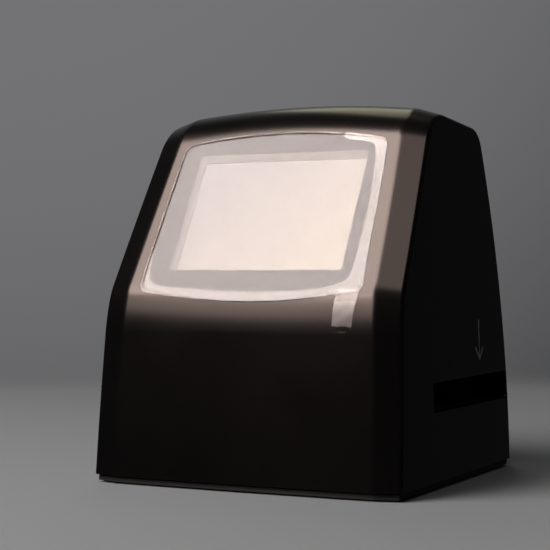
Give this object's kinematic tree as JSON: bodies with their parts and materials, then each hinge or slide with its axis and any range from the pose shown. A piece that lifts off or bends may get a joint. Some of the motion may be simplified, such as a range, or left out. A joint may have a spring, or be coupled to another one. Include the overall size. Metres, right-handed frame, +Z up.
{
  "type": "film negative scanner",
  "caption": "Desktop film negative scanner: satin black tapered housing, tilted display window under a protective film, side-to-side film slot, press buttons on top.",
  "frame": {"origin": "under the middle of the casing, on the surface that the feet rest on", "axes": "front faces -Y, +X is the viewer's right, +Z is up"},
  "size_m": [0.0882, 0.089, 0.1019],
  "materials": {
    "satin_black_casing": "satin moulded ABS, fine grain",
    "matt_black_plastic": "matt moulded ABS",
    "gloss_black_button": "semi-gloss moulded plastic",
    "black_rubber": "matt rubber",
    "tinted_window": "polished acrylic with a printed black border",
    "clear_film": "thin clear protective film",
    "display_glass": "liquid crystal panel, dark",
    "white_plastic": "white diffusing plastic",
    "circuit_board": "green solder resist on glass epoxy",
    "plated_steel": "bright plated steel",
    "coated_lens": "coated optical element",
    "chip_black": "black moulding compound",
    "flat_cable": "flat flexible cable"
  },
  "bodies": {
    "casing": {"upper_casing": "satin_black_casing", "base_plate": "matt_black_plastic", "display_frame": "matt_black_plastic", "film_guide_lower": "matt_black_plastic", "film_guide_upper": "matt_black_plastic", "lens_tunnel": "matt_black_plastic", "lens_holder": "matt_black_plastic", "lens_barrel": "matt_black_plastic", "foot_front_left": "black_rubber", "case_screw_front_left": "plated_steel", "led_front_left": "white_plastic", "foot_front_right": "black_rubber", "case_screw_front_right": "plated_steel", "led_front_right": "white_plastic", "foot_rear_left": "black_rubber", "case_screw_rear_left": "plated_steel", "led_rear_left": "white_plastic", "foot_rear_right": "black_rubber", "case_screw_rear_right": "plated_steel", "led_rear_right": "white_plastic", "screen_window": "tinted_window", "protective_film": "clear_film", "display_panel": "display_glass", "display_screw_left": "plated_steel", "display_screw_right": "plated_steel", "key_board_screw_left": "plated_steel", "key_board_screw_right": "plated_steel", "sensor_screw_left": "plated_steel", "sensor_screw_right": "plated_steel", "board_screw_1": "plated_steel", "board_screw_2": "plated_steel", "board_screw_3": "plated_steel", "board_screw_4": "plated_steel", "film_spring_front": "plated_steel", "film_spring_rear": "plated_steel", "usb_socket": "plated_steel", "card_socket": "plated_steel", "light_box": "white_plastic", "light_diffuser": "white_plastic", "light_board": "circuit_board", "main_board": "circuit_board", "sensor_board": "circuit_board", "key_board": "circuit_board", "video_jack": "chip_black", "image_sensor": "chip_black", "lens_front": "coated_lens", "lens_rear": "coated_lens", "power_switch": "chip_black", "back_switch": "chip_black", "scan_switch": "chip_black", "forward_switch": "chip_black", "menu_switch": "chip_black", "display_ribbon": "flat_cable", "sensor_ribbon": "flat_cable", "key_ribbon": "flat_cable"},
    "power_button_body": {"power_button": "gloss_black_button"},
    "back_button_body": {"back_button": "gloss_black_button"},
    "scan_button_body": {"scan_button": "gloss_black_button"},
    "forward_button_body": {"forward_button": "gloss_black_button"},
    "menu_button_body": {"menu_button": "gloss_black_button"}
  },
  "joints": [
    {"name": "power_press", "type": "slide", "parent": "casing", "child": "power_button_body", "axis": [0, 0, -1], "range_m": [0, 0.0005], "stiffness_N_per_m": 2000},
    {"name": "back_press", "type": "slide", "parent": "casing", "child": "back_button_body", "axis": [0, 0, -1], "range_m": [0, 0.0005], "stiffness_N_per_m": 2000},
    {"name": "scan_press", "type": "slide", "parent": "casing", "child": "scan_button_body", "axis": [0, 0, -1], "range_m": [0, 0.0005], "stiffness_N_per_m": 2000},
    {"name": "forward_press", "type": "slide", "parent": "casing", "child": "forward_button_body", "axis": [0, 0, -1], "range_m": [0, 0.0005], "stiffness_N_per_m": 2000},
    {"name": "menu_press", "type": "slide", "parent": "casing", "child": "menu_button_body", "axis": [0, 0, -1], "range_m": [0, 0.0005], "stiffness_N_per_m": 2000}
  ]
}
